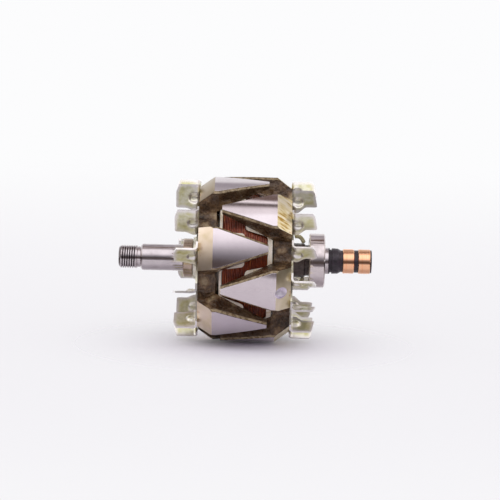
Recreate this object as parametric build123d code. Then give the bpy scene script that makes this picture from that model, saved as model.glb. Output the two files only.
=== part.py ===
from build123d import *
import math
import os

# Claw-pole rotor of an alternator. X runs along the shaft towards the slip rings,
# Z is up, and x = 0 is the front face of the front collar, where the front bearing seats.
# Angles round the shaft start at the -Y side and grow towards +Z.

# Shaft
THREAD_END_X = -41.5
THREAD_ROOT_X = -29.8
JOURNAL_X = -27.1
THREAD_R = 7.4
UNDERCUT_R = 6.7
JOURNAL_R = 8.5
SEAT_R = 8.3
CORE_R = 9.5
TAIL_R = 5.0
SHAFT_TAIL_X = 119.4
HEX_FLATS = 8.0
HEX_DEPTH = 9.0

# Pole pieces
POLE_FRONT_X = 10.3
POLE_REAR_X = 68.8
POLE_LENGTH = POLE_REAR_X - POLE_FRONT_X
ROTOR_R = 53.0
FACE_R = 46.2
BEVEL_LENGTH = 9.3
YOKE_THICKNESS = 12.0
VALLEY_R = 38.0
VALLEY_FILLET = 4.0
HUB_R = 23.0
CLAW_COUNT = 6
CLAW_PITCH = 360 / CLAW_COUNT
CLAW_REACH = 43.9
CLAW_BASE_WIDTH = 27.2
CLAW_TIP_WIDTH = 5.8
CLAW_TIP_THICKNESS = 3.0
CLAW_ROOT_R = 40.6
CLAW_EDGE_BREAK = 1.2
RIM_RELIEF = 1.0
RIM_RELIEF_R = 35.0
FRONT_CLAW_ANGLE = 15.3
REAR_CLAW_ANGLE = -14.7

# Balance drilling in the bevel of a rear claw
BALANCE_ANGLE = -15.8
BALANCE_X = 62.6
BALANCE_R = 3.7
BALANCE_DEPTH = 3.2
DRILL_POINT = 59

# Field coil and its bobbin
FIT = 0.05
BOBBIN_TUBE_R = 24.8
FLANGE_THICKNESS = 2.9
FRONT_FLANGE_STEP = 1.3
FLANGE_STEP_R = 30.0
PETAL_GAP = 0.25
PETAL_THICKNESS = 1.0
WINDOW_ROOT_HALF = 9.4
WINDOW_MOUTH_HALF = 12.9
WINDOW_CORNER = 2.8
COIL_GAP = 0.4

# Fans, pressed from sheet
SHEET = 1.2
BEND_R = 1.6
FAN_R = 50.5
FRONT_BLADE_CHORD = 17.0
FRONT_BLADE_FLARE = 2.0
FRONT_BLADE_LEAN = 31
FRONT_BLADE_HEIGHT = 15.2
FRONT_BLADE_ANGLES = [96, 71, 39, 9, -22.6, -59, -84, -123, -162, 174, 147, 121]
REAR_BLADE_CHORD = 14.5
REAR_BLADE_FLARE = 3.9
REAR_BLADE_LEAN = 33
REAR_BLADE_HEIGHT = 16.0
REAR_BLADE_ANGLES = [89, 64.7, 38.2, 12.3, -12.4, -36, -61.5, -82, -105, -128, -154, 179, 151, 120]
FAN_HUB_R = 14.0
FAN_HUB_X = 6.4

# Collars
COLLAR_LENGTH = 6.1
COLLAR_R = 12.5
LEAD_COLLAR_R = 11.0
LEAD_COLLAR_END_X = 78.2
SPACER_R = 9.9

# Rear ball bearing
BEARING_X = 80.8
BEARING_WIDTH = 10.0
BEARING_R = 17.5
INNER_RING_R = 11.6
OUTER_RING_BORE_R = 14.4
BALL_PITCH_R = 13.0
BALL_R = 2.38
BALL_COUNT = 8
RING_CHAMFER = 0.7
SEAL_THICKNESS = 0.9
SEAL_RECESS = 0.35
RUNNING_GAP = 0.06

# Slip ring end
MOULDING_X = 93.2
MOULDING_END_X = 121.1
MOULDING_R = 8.3
RING_R = 7.9
RING_BORE_R = 6.6
RING_INNER_X = 102.6
RING_INNER_END_X = 109.7
RING_OUTER_X = 112.6
RING_OUTER_END_X = 120.1

# Lead wires
LEAD_R = 0.9
LEAD_ANGLES = [84, 264]


def around(angle):
    """Turn from the -Y side to the given angle round the shaft."""
    return Rot(-angle, 0, 0)


def turned(points):
    """Solid of revolution round the shaft from a closed (x, radius) outline."""
    outline = Polyline([(x, r) for x, r in points], close=True)
    return revolve(Plane.XZ * make_face(outline), Axis.X)


def tube(x_start, x_end, r_in, r_out, break_edge=0.0):
    """Plain ring with both outer corners broken."""
    b = break_edge
    if b == 0:
        points = [(x_start, r_in), (x_end, r_in), (x_end, r_out), (x_start, r_out)]
    else:
        points = [
            (x_start, r_in), (x_end, r_in), (x_end, r_out - b), (x_end - b, r_out),
            (x_start + b, r_out), (x_start, r_out - b),
        ]
    return turned(points)


def plan_prism(points, r_in, r_out):
    """Outline in (x, tangent) pushed out along -Y from r_in to r_out."""
    outline = Polyline(*points, close=True)
    start = Plane(origin=(0, -r_in, 0), x_dir=(1, 0, 0), z_dir=(0, -1, 0))
    return extrude(start * make_face(outline), r_out - r_in)


def make_shaft():
    body = turned([
        (THREAD_END_X, 0), (THREAD_END_X, THREAD_R - 1.2), (THREAD_END_X + 1.2, THREAD_R),
        (THREAD_ROOT_X - 0.7, THREAD_R), (THREAD_ROOT_X, UNDERCUT_R),
        (JOURNAL_X - 0.6, UNDERCUT_R), (JOURNAL_X, UNDERCUT_R + 0.9), (JOURNAL_X + 0.9, JOURNAL_R),
        (0, JOURNAL_R), (0, SEAT_R), (POLE_FRONT_X, SEAT_R), (POLE_FRONT_X, CORE_R),
        (POLE_REAR_X, CORE_R), (POLE_REAR_X, SEAT_R), (BEARING_X, SEAT_R),
        (BEARING_X, JOURNAL_R), (MOULDING_X, JOURNAL_R), (MOULDING_X, TAIL_R),
        (SHAFT_TAIL_X, TAIL_R), (SHAFT_TAIL_X, 0),
    ])
    end = Plane(origin=(THREAD_END_X, 0, 0), x_dir=(0, 1, 0), z_dir=(1, 0, 0))
    socket = extrude(end * RegularPolygon(HEX_FLATS / 2, 6, major_radius=False), HEX_DEPTH)
    drill = turned([
        (THREAD_END_X + HEX_DEPTH - 0.5, 0), (THREAD_END_X + HEX_DEPTH - 0.5, 2.6),
        (THREAD_END_X + HEX_DEPTH + 3, 2.6), (THREAD_END_X + HEX_DEPTH + 4.6, 0),
    ])
    mouth = turned([
        (THREAD_END_X - 0.1, 0), (THREAD_END_X - 0.1, 5.0), (THREAD_END_X + 1.2, 3.8),
        (THREAD_END_X + 1.2, 0),
    ])
    return body - socket - drill - mouth


def make_claw():
    """One claw arm over the -Y side, from the yoke's inner face to the tip."""
    shell = turned([
        (YOKE_THICKNESS, CLAW_ROOT_R), (YOKE_THICKNESS, ROTOR_R), (CLAW_REACH, ROTOR_R),
        (CLAW_REACH, ROTOR_R - CLAW_TIP_THICKNESS),
    ])
    half_base = CLAW_BASE_WIDTH / 2
    half_tip = CLAW_TIP_WIDTH / 2
    plan = plan_prism(
        [(YOKE_THICKNESS - 1, -half_base), (YOKE_THICKNESS, -half_base), (CLAW_REACH, -half_tip),
         (CLAW_REACH, half_tip), (YOKE_THICKNESS, half_base), (YOKE_THICKNESS - 1, half_base)],
        VALLEY_R - 8, ROTOR_R + 5,
    )
    return shell & plan


def make_pole():
    """Forged pole piece with its face at x = 0 and the claws reaching to +X."""
    plan = Circle(VALLEY_R)
    for k in range(CLAW_COUNT // 2):
        plan += Rot(0, 0, k * CLAW_PITCH) * Rectangle(2 * ROTOR_R + 10, CLAW_BASE_WIDTH)
    inner = [v for v in plan.vertices() if math.hypot(v.X, v.Y) < VALLEY_R + 2]
    plan = fillet(inner, VALLEY_FILLET)
    yoke = extrude(Plane.YZ * plan, YOKE_THICKNESS)
    yoke &= turned([
        (0, 0), (0, FACE_R), (BEVEL_LENGTH, ROTOR_R), (YOKE_THICKNESS, ROTOR_R),
        (YOKE_THICKNESS, 0),
    ])
    pole = yoke + tube(YOKE_THICKNESS - 1, POLE_LENGTH / 2, CORE_R, HUB_R)
    claw = make_claw()
    for k in range(CLAW_COUNT):
        pole += around(k * CLAW_PITCH) * claw
    pole -= tube(YOKE_THICKNESS - RIM_RELIEF, YOKE_THICKNESS + 0.01, RIM_RELIEF_R, CLAW_ROOT_R)
    pole = (pole - tube(-1, POLE_LENGTH, 0, CORE_R + FIT)).solid()
    # Both long edges of every claw, from the bevel to the tip.
    long_edges = [
        e for e in pole.edges()
        if math.hypot(e.center().Y, e.center().Z) > ROTOR_R - 0.8
        and e.center().X > BEVEL_LENGTH + 0.5 and abs(e.tangent_at(0.5).X) > 0.7
    ]
    return chamfer(long_edges, CLAW_EDGE_BREAK)


def make_balance_hole():
    tip_depth = BALANCE_R / math.tan(math.radians(DRILL_POINT))
    outline = Polyline(
        (0, 0), (0, BALANCE_DEPTH + tip_depth), (BALANCE_R, BALANCE_DEPTH),
        (BALANCE_R, -8), (0, -8), close=True,
    )
    drill = revolve(make_face(outline), Axis.Y)
    surface_r = ROTOR_R - (BALANCE_X - (POLE_REAR_X - BEVEL_LENGTH)) * (
        (ROTOR_R - FACE_R) / BEVEL_LENGTH)
    return around(BALANCE_ANGLE) * Pos(BALANCE_X, -surface_r, 0) * drill


def petal_r(x):
    """Outer radius of the front half's flange and petals, just below the claws' undersides."""
    rise = (ROTOR_R - CLAW_TIP_THICKNESS - CLAW_ROOT_R) / (CLAW_REACH - YOKE_THICKNESS)
    return CLAW_ROOT_R - PETAL_GAP + rise * (x - POLE_FRONT_X - YOKE_THICKNESS)


def make_bobbin_half(x_start, step):
    """Front half: flange rim, and petals over the coil that follow the claws' sides."""
    middle_x = (POLE_FRONT_X + POLE_REAR_X) / 2
    root_x = x_start + FLANGE_THICKNESS
    mouth_x = middle_x - 0.2
    rim_x = x_start + step
    half = turned([
        (rim_x, HUB_R + FIT), (rim_x, petal_r(rim_x)), (root_x, petal_r(root_x)),
        (root_x, HUB_R + FIT),
    ])
    if step:
        half += tube(x_start, rim_x, HUB_R + FIT, FLANGE_STEP_R)
    petals = turned([
        (root_x, petal_r(root_x) - PETAL_THICKNESS), (root_x, petal_r(root_x)),
        (mouth_x, petal_r(mouth_x)), (mouth_x, petal_r(mouth_x) - PETAL_THICKNESS),
    ])
    side = petal_r(mouth_x) * math.sin(math.radians(CLAW_PITCH / 2)) + 1.0
    edge = FilletPolyline(
        (mouth_x, -side), (mouth_x, -WINDOW_MOUTH_HALF), (root_x, -WINDOW_ROOT_HALF),
        (root_x, WINDOW_ROOT_HALF), (mouth_x, WINDOW_MOUTH_HALF), (mouth_x, side),
        radius=WINDOW_CORNER,
    )
    closing = Polyline(
        (mouth_x, side), (mouth_x + 3, side), (mouth_x + 3, -side), (mouth_x, -side))
    start = Plane(origin=(0, -BOBBIN_TUBE_R, 0), x_dir=(1, 0, 0), z_dir=(0, -1, 0))
    window = extrude(start * make_face([edge, closing]), ROTOR_R - BOBBIN_TUBE_R)
    for k in range(CLAW_COUNT):
        petals -= around((k + 0.5) * CLAW_PITCH) * window
    return half + petals


def make_bobbin():
    """Moulded bobbin: tube, two flanges, and petals over the coil below every claw."""
    front_x = POLE_FRONT_X + YOKE_THICKNESS
    rear_x = POLE_REAR_X - YOKE_THICKNESS
    middle_x = (front_x + rear_x) / 2
    bobbin = tube(front_x, rear_x, HUB_R + FIT, BOBBIN_TUBE_R)
    bobbin += around(FRONT_CLAW_ANGLE) * make_bobbin_half(front_x, FRONT_FLANGE_STEP)
    flipped = Rot(0, 0, 180) * Pos(-middle_x, 0, 0) * make_bobbin_half(front_x, 0)
    return bobbin + Pos(middle_x, 0, 0) * around(REAR_CLAW_ANGLE) * flipped


def make_coil():
    """Winding, fullest at mid length where the petals stand highest."""
    front_x = POLE_FRONT_X + YOKE_THICKNESS + FLANGE_THICKNESS + FIT
    rear_x = POLE_FRONT_X + POLE_REAR_X - front_x
    middle_x = (front_x + rear_x) / 2
    below = PETAL_THICKNESS + COIL_GAP
    return turned([
        (front_x, BOBBIN_TUBE_R + FIT), (front_x, petal_r(front_x) - below),
        (middle_x, petal_r(middle_x) - below), (rear_x, petal_r(front_x) - below),
        (rear_x, BOBBIN_TUBE_R + FIT),
    ])


def blade_geometry(chord, lean):
    """Radius of the blade's middle when its outer end is at FAN_R."""
    half = chord / 2
    inward = half * math.cos(math.radians(lean))
    return math.sqrt(inward ** 2 + FAN_R ** 2 - half ** 2) - inward


def blade_point(angle, chord, lean, along):
    """Point in the fan plane at a share of the chord, from -1 (inner) to 1 (outer)."""
    middle = blade_geometry(chord, lean)
    a = math.radians(angle)
    b = math.radians(angle + lean)
    y = -(middle * math.cos(a) + along * chord / 2 * math.cos(b))
    z = middle * math.sin(a) + along * chord / 2 * math.sin(b)
    return y, z


def make_blade(chord, lean, tip):
    """One bent blade standing towards -X from the fan plate, whose rear face is x = 0."""
    middle = blade_geometry(chord, lean)
    outer = SHEET + BEND_R
    reach = max(h for s, h in tip)
    section = Polyline((6, 0), (6, SHEET), (outer, SHEET)) \
        + RadiusArc((outer, SHEET), (SHEET, outer), BEND_R) \
        + Polyline((SHEET, outer), (SHEET, reach), (0, reach), (0, outer)) \
        + RadiusArc((0, outer), (outer, 0), -outer) \
        + Line((outer, 0), (6, 0))
    # Local frame: first axis across the blade towards the hub side, second along -X.
    across = math.radians(lean + 90)
    across_dir = (0, -math.cos(across), math.sin(across))
    along = math.radians(lean)
    along_dir = Vector(0, -math.cos(along), math.sin(along))
    start = Vector(0, -middle, 0) - along_dir * (chord / 2)
    plane = Plane(origin=start, x_dir=across_dir, z_dir=along_dir)
    if plane.y_dir.X > 0:
        plane = Plane(origin=start + along_dir * chord, x_dir=across_dir, z_dir=-along_dir)
    sheet = extrude(plane * make_face(section), chord)
    outline = [(0, -0.5), (chord, -0.5)] + [(s, h) for s, h in tip]
    shape_plane = Plane(origin=start, x_dir=along_dir, z_dir=along_dir.cross(Vector(-1, 0, 0)))
    shape = extrude(shape_plane * make_face(Polyline(*outline, close=True)), 30, both=True)
    return sheet & shape


def make_fan(angles, chord, lean, tip, hub_raise):
    """Pressed fan with its plate between x = -SHEET and 0 and the blades towards -X."""
    outline = []
    for angle in sorted(angles):
        outline += [blade_point(angle, chord, lean, -1), blade_point(angle, chord, lean, 1)]
    plate = extrude(Plane.YZ * make_face(Polyline(*outline, close=True)), -SHEET)
    blade = make_blade(chord, lean, tip)
    # The plate stops where each bend begins.
    for angle in angles:
        strip = Box(4 * SHEET, 2 * (SHEET + BEND_R), chord + 1.5)
        turn = Pos(-SHEET / 2, -blade_geometry(chord, lean), 0) * Rot(-lean - 90, 0, 0) * strip
        plate -= around(angle) * turn
    fan = plate
    for angle in angles:
        fan += around(angle) * blade
    if hub_raise:
        fan += tube(-hub_raise, -SHEET + 0.2, SEAT_R, FAN_HUB_R, 0.4)
    return fan - tube(-20, 20, 0, SEAT_R + FIT)


def make_front_fan():
    c = FRONT_BLADE_CHORD
    h = FRONT_BLADE_HEIGHT
    f = FRONT_BLADE_FLARE
    # Outer corner cut back, inner side flaring out towards the plate.
    tip = [(c, h - 1.8), (c - 4.8, h), (f + 0.5, h - 0.2), (f, h - 0.7),
           (f, h / 2), (f * 0.45, h * 0.3), (0, SHEET + BEND_R)]
    fan = make_fan(FRONT_BLADE_ANGLES, c, FRONT_BLADE_LEAN, tip, POLE_FRONT_X - FAN_HUB_X)
    return Pos(POLE_FRONT_X, 0, 0) * fan


def make_rear_fan():
    c = REAR_BLADE_CHORD
    h = REAR_BLADE_HEIGHT
    f = REAR_BLADE_FLARE
    tip = [(c, h - 3.1), (c - 1.6, h - 1.7), (f + 0.5, h), (f, h - 0.5),
           (f, h / 2), (f * 0.45, h * 0.32), (0, SHEET + BEND_R)]
    # Mirrored so that its blades stand towards +X with the same lean as seen from the front.
    fan = make_fan(REAR_BLADE_ANGLES, c, REAR_BLADE_LEAN, tip, 0)
    return Pos(POLE_REAR_X, 0, 0) * mirror(fan, about=Plane.YZ)


def make_lead_collar():
    return turned([
        (POLE_REAR_X + SHEET, SEAT_R + FIT), (POLE_REAR_X + SHEET, LEAD_COLLAR_R),
        (LEAD_COLLAR_END_X - 0.6, LEAD_COLLAR_R), (LEAD_COLLAR_END_X, LEAD_COLLAR_R - 0.6),
        (LEAD_COLLAR_END_X, SPACER_R), (BEARING_X, SPACER_R), (BEARING_X, SEAT_R + FIT),
    ])


def make_ring(r_in, r_out, groove_r):
    """Bearing ring with a ball groove; chamfered on the side away from the balls."""
    ring = tube(BEARING_X, BEARING_X + BEARING_WIDTH, r_in, r_out,
                RING_CHAMFER if r_out == BEARING_R else 0.2)
    middle = BEARING_X + BEARING_WIDTH / 2
    groove = revolve(Plane.XZ * Pos(middle, BALL_PITCH_R) * Circle(groove_r), Axis.X)
    return ring - groove


def make_balls():
    middle = BEARING_X + BEARING_WIDTH / 2
    ball = Pos(middle, -BALL_PITCH_R, 0) * Sphere(BALL_R)
    return Compound([around(k * 360 / BALL_COUNT) * ball for k in range(BALL_COUNT)])


def make_cage():
    middle = BEARING_X + BEARING_WIDTH / 2
    cage = tube(middle - 1.3, middle + 1.3, BALL_PITCH_R - 0.5, BALL_PITCH_R + 0.5)
    pocket = Pos(middle, -BALL_PITCH_R, 0) * Cylinder(BALL_R + 0.08, 4, rotation=(90, 0, 0))
    rims = tube(middle - 3.1, middle - 1.2, BALL_PITCH_R - 0.5, BALL_PITCH_R + 0.5)
    rims += tube(middle + 1.2, middle + 3.1, BALL_PITCH_R - 0.5, BALL_PITCH_R + 0.5)
    cage += rims
    for k in range(BALL_COUNT):
        cage -= around(k * 360 / BALL_COUNT) * pocket
    return cage


def make_seal(x_start):
    return tube(x_start, x_start + SEAL_THICKNESS, INNER_RING_R + RUNNING_GAP, OUTER_RING_BORE_R)


def make_moulding():
    seat = RING_BORE_R - FIT
    body = turned([
        (MOULDING_X, TAIL_R + FIT), (MOULDING_X, MOULDING_R), (94.1, MOULDING_R),
        (94.3, MOULDING_R - 0.9), (95.4, MOULDING_R - 0.9), (95.6, MOULDING_R),
        (99.4, MOULDING_R - 0.2), (100.6, MOULDING_R - 0.9), (101.3, 7.0), (RING_INNER_X, 7.0),
        (RING_INNER_X, seat), (RING_INNER_END_X, seat), (RING_INNER_END_X, 7.2),
        (RING_OUTER_X, 7.2), (RING_OUTER_X, seat), (RING_OUTER_END_X, seat),
        (RING_OUTER_END_X, 7.5), (MOULDING_END_X, 7.3), (MOULDING_END_X, 0),
        (SHAFT_TAIL_X + FIT, 0), (SHAFT_TAIL_X + FIT, TAIL_R + FIT),
    ])
    notch = around(-6) * Pos(MOULDING_END_X, -7.4, 0) * Box(2.4, 1.6, 1.0)
    return body - notch


def make_lead(angle):
    """Field lead from the rear valley, down behind the fan plate, to the collar."""
    x0 = POLE_REAR_X + SHEET + 1.6
    path = FilletPolyline(
        (POLE_REAR_X + SHEET + 0.8, 0, 16.5), (x0 + 1.2, 0, 13.2), (x0 + 5.0, 0, LEAD_COLLAR_R + 1.0),
        radius=1.4,
    )
    section = Plane(origin=path @ 0, z_dir=path % 0) * Circle(LEAD_R)
    return around(angle - 90) * sweep(section, path=path)


# Export
pole = make_pole()
flipped_pole = around(REAR_CLAW_ANGLE) * Rot(0, 0, 180) * pole

parts = {
    "shaft": make_shaft(),
    "front_collar": tube(0, COLLAR_LENGTH, SEAT_R + FIT, COLLAR_R, 0.5),
    "front_fan": make_front_fan(),
    "front_pole": Pos(POLE_FRONT_X, 0, 0) * around(FRONT_CLAW_ANGLE) * pole,
    "rear_pole": Pos(POLE_REAR_X, 0, 0) * flipped_pole - make_balance_hole(),
    "coil_bobbin": make_bobbin(),
    "field_coil": make_coil(),
    "rear_fan": make_rear_fan(),
    "lead_collar": make_lead_collar(),
    "field_lead_a": make_lead(LEAD_ANGLES[0]),
    "field_lead_b": make_lead(LEAD_ANGLES[1]),
    "bearing_inner_ring": make_ring(JOURNAL_R + FIT, INNER_RING_R, BALL_R + RUNNING_GAP),
    "bearing_outer_ring": make_ring(OUTER_RING_BORE_R, BEARING_R, BALL_R + RUNNING_GAP),
    "bearing_balls": make_balls(),
    "bearing_cage": make_cage(),
    "seal_front": make_seal(BEARING_X + SEAL_RECESS),
    "seal_rear": make_seal(BEARING_X + BEARING_WIDTH - SEAL_RECESS - SEAL_THICKNESS),
    "ring_moulding": make_moulding(),
    "slip_ring_inner": tube(RING_INNER_X, RING_INNER_END_X, RING_BORE_R, RING_R, 0.3),
    "slip_ring_outer": tube(RING_OUTER_X, RING_OUTER_END_X, RING_BORE_R, RING_R, 0.3),
}

os.makedirs("parts", exist_ok=True)
for name, shape in parts.items():
    export_step(shape, f"parts/{name}.step")
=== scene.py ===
import math

import bmesh
import bpy
import numpy as np
from mathutils import Matrix, Vector


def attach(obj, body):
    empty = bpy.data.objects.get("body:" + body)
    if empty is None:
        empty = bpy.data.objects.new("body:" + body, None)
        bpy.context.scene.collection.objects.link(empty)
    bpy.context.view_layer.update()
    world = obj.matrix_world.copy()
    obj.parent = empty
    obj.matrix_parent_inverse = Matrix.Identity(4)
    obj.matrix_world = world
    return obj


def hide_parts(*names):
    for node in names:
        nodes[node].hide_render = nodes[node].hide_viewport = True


# The rotor lies on its claws. X runs along the shaft towards the slip rings, Z is up.
# Lengths are written in millimetres and become metres in the meshes.
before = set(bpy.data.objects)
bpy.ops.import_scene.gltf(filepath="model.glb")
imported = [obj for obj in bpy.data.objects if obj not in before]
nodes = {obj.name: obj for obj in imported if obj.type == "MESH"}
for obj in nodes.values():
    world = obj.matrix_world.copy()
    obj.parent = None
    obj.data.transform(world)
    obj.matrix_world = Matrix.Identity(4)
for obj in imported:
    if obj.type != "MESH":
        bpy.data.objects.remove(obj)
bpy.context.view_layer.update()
MM = 0.001

# The poles reach from one x to the other, and each is bevelled from its outer face's radius up
# to the rotor's.
POLE_FRONT_X, POLE_REAR_X, FACE_R, ROTOR_R, BEVEL_LENGTH = 10.3, 68.8, 46.2, 53.0, 9.3
# Fans: bore, sheet, inside of the bends, raised hub, depth of the stamped dents, and reach.
SEAT_R, SHEET, BEND_R, HUB_R, DENT, FAN_R = 8.35, 1.2, 1.6, 13.4, 1.5, 50.5
# A blade's length, its lean from the radius in degrees, its flare and its height. The blades
# stand at angles from -Y towards +Z.
FRONT_CHORD, FRONT_LEAN, FRONT_FLARE, FRONT_HEIGHT = 17.0, 31, 2.0, 15.2
FRONT_BLADES = [96, 71, 39, 9, -22.6, -59, -84, -123, -162, 174, 147, 121]
REAR_CHORD, REAR_LEAN, REAR_FLARE, REAR_HEIGHT = 14.5, 33, 3.9, 16.0
REAR_BLADES = [89, 64.7, 38.2, 12.3, -12.4, -36, -61.5, -82, -105, -128, -154, 179, 151, 120]
# A blade's free edge, as places along the blade and heights above the pole.
FRONT_TIP = [(FRONT_FLARE, FRONT_HEIGHT - 1.6), (FRONT_FLARE + 0.4, FRONT_HEIGHT - 0.2),
             (FRONT_CHORD - 4.8, FRONT_HEIGHT), (FRONT_CHORD, FRONT_HEIGHT - 1.8)]
REAR_TIP = [(REAR_FLARE, REAR_HEIGHT - 1.4), (REAR_FLARE + 0.4, REAR_HEIGHT - 0.1),
            (REAR_CHORD - 1.6, REAR_HEIGHT - 1.7), (REAR_CHORD, REAR_HEIGHT - 3.1)]
# The balance drilling's x and its angle.
BALANCE_HOLE = (62.6, -15.8)
COIL_X, COIL_END_X, COIL_INNER_R, COIL_R, COIL_RISE, WIRE = 25.3, 53.8, 25.2, 39.8, 0.295, 1.1
PITCH, CREST_R, THREAD_DEPTH = 1.5, 7.4, 0.92
SLEEVE_R = 1.3


# Shapes

def round_angles(count):
    """Angles of points set evenly round a circle: 2 pi j / count."""
    return np.arange(count) * 2 * math.pi / count


def ring_lattice(x, r):
    """Rings round the X axis: ring i lies at x[i], and its point j has the radius r[i, j] and the
    j-th of the even angles, which start at -Y and grow towards +Z."""
    angle = round_angles(r.shape[1])
    x = np.repeat(x[:, None], r.shape[1], axis=1)
    return np.stack([x, -r * np.cos(angle), r * np.sin(angle)], axis=-1)


def rounded_profile(points, radius, steps=4):
    """Profile with each inner corner replaced by a short curve: a quadratic Bezier from a point
    before the corner to one after it, with the corner as its middle control point."""
    p = np.asarray(points, float)
    out = [p[:1]]
    t = np.linspace(0, 1, steps)[:, None]
    for a, b, c in zip(p[:-2], p[1:-1], p[2:]):
        la, lc = np.linalg.norm(a - b), np.linalg.norm(c - b)
        cut = min(radius, 0.45 * la, 0.45 * lc)
        start, end = b + (a - b) * cut / la, b + (c - b) * cut / lc
        out.append((1 - t) ** 2 * start + 2 * t * (1 - t) * b + t ** 2 * end)
    out.append(p[-1:])
    return np.concatenate(out)


def put_mesh(name, lattices, body, finish, stands_for=(), sharp=32):
    """Joins lattices of points in mm into one closed mesh. Each entry is (points, wrap), where
    wrap closes the columns on themselves. Rows and columns become quads; equal points are merged.
    A fourth column of the points is kept on the mesh as an attribute: the share of a painted
    highlight."""
    verts, faces, base = [], [], 0
    for points, wrap in lattices:
        rows, cols = points.shape[:2]
        index = np.arange(rows * cols).reshape(rows, cols) + base
        if wrap:
            index = np.concatenate([index, index[:, :1]], axis=1)
        quads = np.stack([index[:-1, :-1], index[:-1, 1:], index[1:, 1:], index[1:, :-1]], axis=-1)
        faces.append(quads.reshape(-1, 4))
        verts.append(points.reshape(-1, points.shape[-1]))
        base += rows * cols
    verts = np.concatenate(verts)
    mesh = bpy.data.meshes.new(name)
    mesh.from_pydata((verts[:, :3] * MM).tolist(), [], np.concatenate(faces).tolist())
    if verts.shape[1] == 4:
        painted_highlight = mesh.attributes.new("painted_highlight", "FLOAT", "POINT")
        painted_highlight.data.foreach_set("value", verts[:, 3].astype(np.float32))
    work = bmesh.new()
    work.from_mesh(mesh)
    bmesh.ops.remove_doubles(work, verts=work.verts, dist=2e-6)
    bmesh.ops.recalc_face_normals(work, faces=work.faces)
    work.to_mesh(mesh)
    work.free()
    mesh.shade_smooth()
    mesh.set_sharp_from_angle(angle=math.radians(sharp))
    piece = bpy.data.objects.new(name, mesh)
    bpy.context.scene.collection.objects.link(piece)
    mesh.materials.append(finish)
    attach(piece, body)
    if stands_for:
        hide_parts(*stands_for)


def hexagon_radius(flats, count):
    """Radius of a hexagon's wall at each angle: half the flats over the cosine of the angle
    from the nearest flat's middle."""
    off = (round_angles(count) + math.pi / 6) % (math.pi / 3) - math.pi / 6
    return flats / 2 / np.cos(off)


def make_shaft(finish):
    """Stepped shaft. The thread's radius is the crests' less its depth times a wave of the phase
    x / pitch - angle / 2 pi, 0 on the crests and 1 in the roots, so it climbs once round for
    every pitch. The hexagon socket and the drilling inside it are the first rings."""
    count = 144
    hexagon = hexagon_radius(8.0, count)
    bore = np.repeat(2.6, count)
    cone = np.repeat(4.9, count)
    inner_x = [-28.0, -29.5, -33.0, -33.0, -40.3, -41.5]
    inner_r = [0 * bore, bore, bore, hexagon, hexagon, cone]
    x = np.linspace(-41.5, -29.9, 150)
    phase = (x[:, None] / PITCH - round_angles(count) / (2 * math.pi)) % 1.0
    wave = np.clip(np.abs(phase - 0.5) * 4.4 - 1.0, 0, 1)
    # The turns run out at both ends, and the front edge is chamfered.
    starts, ends = np.clip((x + 41.1) / 1.2, 0, 1), np.clip((-30.2 - x) / 0.7, 0, 1)
    thread = CREST_R - (THREAD_DEPTH * starts * ends)[:, None] * wave
    thread = np.minimum(thread, 5.9 + (x[:, None] + 41.5) * 1.1)
    rest = rounded_profile([
        (-29.9, 7.3), (-29.4, 6.7), (-27.6, 6.7), (-27.1, 7.6), (-26.2, 8.5), (0, 8.5), (0, 8.3),
        (10.3, 8.3), (10.3, 9.5), (68.8, 9.5), (68.8, 8.3), (80.8, 8.3), (80.8, 8.5), (93.2, 8.5),
        (93.2, 5.0), (119.4, 5.0), (119.4, 0),
    ], 0.2)
    xs = np.concatenate([inner_x, x, rest[:, 0]])
    rs = np.concatenate([np.array(inner_r), thread, np.repeat(rest[:, 1:2], count, axis=1)])
    put_mesh("shaft_turned", [(ring_lattice(xs, rs), True)], "rotor", finish,
             ["shaft"])


def blade_middle(chord, lean):
    """Radius of a blade's middle, from which half the chord, leaning off the radius by the given
    angle, ends on the circle of the fan's reach: the law of cosines solved for that radius."""
    half = chord / 2
    inward = half * math.cos(math.radians(lean))
    return math.sqrt(inward ** 2 + FAN_R ** 2 - half ** 2) - inward


def direction(angle):
    """Unit vector across the shaft at an angle from -Y towards +Z."""
    a = np.radians(angle)
    return np.stack([0 * a, -np.cos(a), np.sin(a)], axis=-1)


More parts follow.
